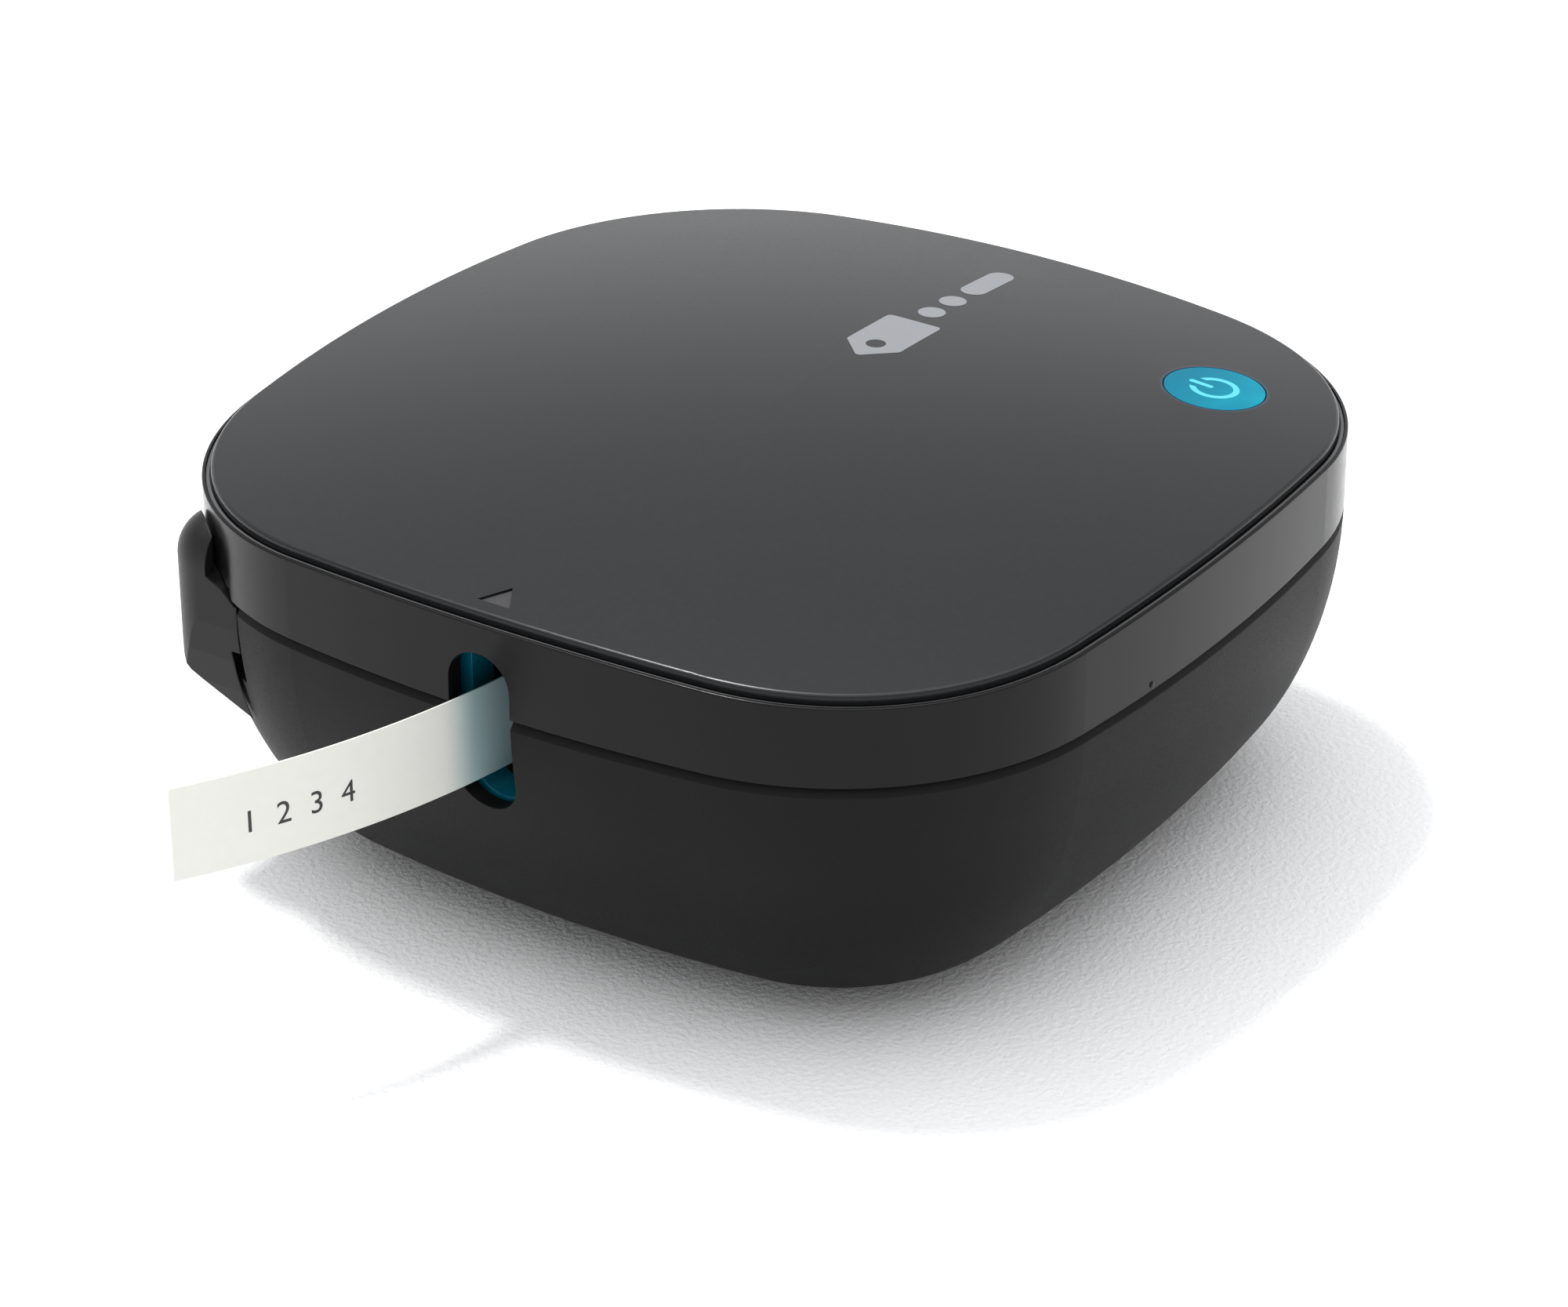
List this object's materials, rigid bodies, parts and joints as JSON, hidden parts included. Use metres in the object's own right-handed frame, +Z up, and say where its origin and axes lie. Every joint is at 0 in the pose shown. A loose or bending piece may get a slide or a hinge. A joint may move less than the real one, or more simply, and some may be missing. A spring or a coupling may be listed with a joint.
{
  "type": "label maker",
  "caption": "Desktop label maker: rounded-square body with lift-off domed cover, tape slot, cutter key, power button, tape cassette and geared feed inside.",
  "frame": {"origin": "centre of the foot ring's underside", "axes": "+X right, +Y back, +Z up; the tape leaves through the -X wall"},
  "size_m": [0.1619, 0.1264, 0.0546],
  "materials": {
    "shell_matte": "fine matte texture",
    "cover_gloss": "semi-gloss",
    "foot_rubber": "matte",
    "cell_wrap": "satin wrap",
    "contact_steel": "satin",
    "teal_plastic": "satin",
    "screw_steel": "satin",
    "motor_can": "satin",
    "pinion_brass": "machined",
    "gear_plastic": "satin",
    "platen_rubber": "matte",
    "head_ceramic": "ground",
    "heatsink_aluminium": "satin",
    "blade_steel": "ground",
    "carrier_plastic": "satin",
    "spring_steel": "bright",
    "board_green": "solder mask",
    "chip_black": "moulded",
    "cassette_plastic": "satin",
    "tape_white": "satin label tape",
    "trim_grey": "satin",
    "emblem_grey": "printed",
    "mark_grey": "fine texture",
    "bezel_navy": "gloss",
    "button_cyan": "translucent, polished",
    "symbol_light": "printed"
  },
  "bodies": {
    "base": {"lower_shell": "shell_matte", "foot_ring": "foot_rubber", "aa_cell_1": "cell_wrap", "aa_cell_2": "cell_wrap", "aa_cell_3": "cell_wrap", "aa_cell_4": "cell_wrap", "battery_contacts_left": "contact_steel", "battery_contacts_right": "contact_steel", "chassis_tray": "teal_plastic", "chassis_screws": "screw_steel", "mechanism_plate": "contact_steel", "plate_screws": "screw_steel", "drive_motor": "motor_can", "idler_axle": "screw_steel", "platen_bracket": "contact_steel", "print_head": "head_ceramic", "head_heatsink": "heatsink_aluminium", "cutter_anvil": "blade_steel", "lever_pivot_pin": "screw_steel", "lever_return_spring": "spring_steel", "main_board": "board_green", "board_screws": "screw_steel", "radio_module": "contact_steel", "driver_chips": "chip_black", "storage_capacitors": "motor_can", "power_switch": "chip_black"},
    "battery_door": {"battery_door": "shell_matte"},
    "cover": {"upper_housing": "cover_gloss", "top_panel": "cover_gloss", "trim_ring": "trim_grey", "emblem": "emblem_grey", "slot_mark": "mark_grey", "button_bezel": "bezel_navy", "button_spring": "spring_steel"},
    "button": {"power_button": "button_cyan", "power_symbol": "symbol_light"},
    "lever": {"cutter_lever": "shell_matte"},
    "cutter": {"blade_carrier": "carrier_plastic", "cutter_blade": "blade_steel"},
    "pinion": {"motor_pinion": "pinion_brass"},
    "idler": {"idler_gear": "gear_plastic"},
    "platen": {"platen_gear": "gear_plastic", "platen_shaft": "screw_steel", "platen_roller": "platen_rubber"},
    "cassette": {"cassette_base": "cassette_plastic", "cassette_lid": "cassette_plastic", "label_tape": "tape_white"},
    "spool": {"tape_spool": "gear_plastic", "tape_roll": "tape_white"},
    "guide": {"guide_roller": "gear_plastic"}
  },
  "joints": [
    {"name": "cover_lift", "type": "slide", "parent": "base", "child": "cover", "axis": [0, 0, 1], "range_m": [0, 0.06]},
    {"name": "power_press", "type": "slide", "parent": "cover", "child": "button", "axis": [0, 0, -1], "range_m": [0, 0.0008], "stiffness_N_per_m": 600, "springref_m": -0.0008, "deforming": ["button_spring"]},
    {"name": "lever_press", "type": "hinge", "parent": "base", "child": "lever", "pos_m": [-0.0485, 0.02, 0.033], "axis": [-1, 0, 0], "range_deg": [0, 7], "stiffness_Nm_per_rad": 0.4, "springref_deg": -6.88, "deforming": ["lever_return_spring"]},
    {"name": "blade_stroke", "type": "slide", "parent": "base", "child": "cutter", "axis": [0, -1, 0], "range_m": [0, 0.0028]},
    {"name": "motor_spin", "type": "hinge", "parent": "base", "child": "pinion", "pos_m": [-0.02046, 0.03329, 0.0225], "axis": [0, 0, 1], "continuous": true},
    {"name": "idler_spin", "type": "hinge", "parent": "base", "child": "idler", "pos_m": [-0.02886, 0.01874, 0.0225], "axis": [0, 0, 1], "continuous": true},
    {"name": "platen_spin", "type": "hinge", "parent": "base", "child": "platen", "pos_m": [-0.043, 0.0046, 0.034], "axis": [0, 0, 1], "continuous": true},
    {"name": "cassette_lift", "type": "slide", "parent": "base", "child": "cassette", "axis": [0, 0, 1], "range_m": [0, 0.036]},
    {"name": "spool_spin", "type": "hinge", "parent": "cassette", "child": "spool", "pos_m": [0.003, 0, 0.034], "axis": [0, 0, 1], "continuous": true},
    {"name": "guide_spin", "type": "hinge", "parent": "cassette", "child": "guide", "pos_m": [-0.026, -0.006, 0.034], "axis": [0, 0, 1], "continuous": true},
    {"name": "door_drop", "type": "slide", "parent": "base", "child": "battery_door", "axis": [0, 0, -1], "range_m": [0, 0.02]}
  ],
  "couplings": [
    {"joint": "blade_stroke", "follows": "lever_press", "m_per_rad": 0.022918},
    {"joint": "idler_spin", "follows": "motor_spin", "ratio": -0.4},
    {"joint": "platen_spin", "follows": "motor_spin", "ratio": 0.6},
    {"joint": "spool_spin", "follows": "motor_spin", "ratio": 0.16},
    {"joint": "guide_spin", "follows": "motor_spin", "ratio": -0.8},
    {"joint": "cassette_lift", "follows": "cover_lift", "ratio": 0.6}
  ]
}
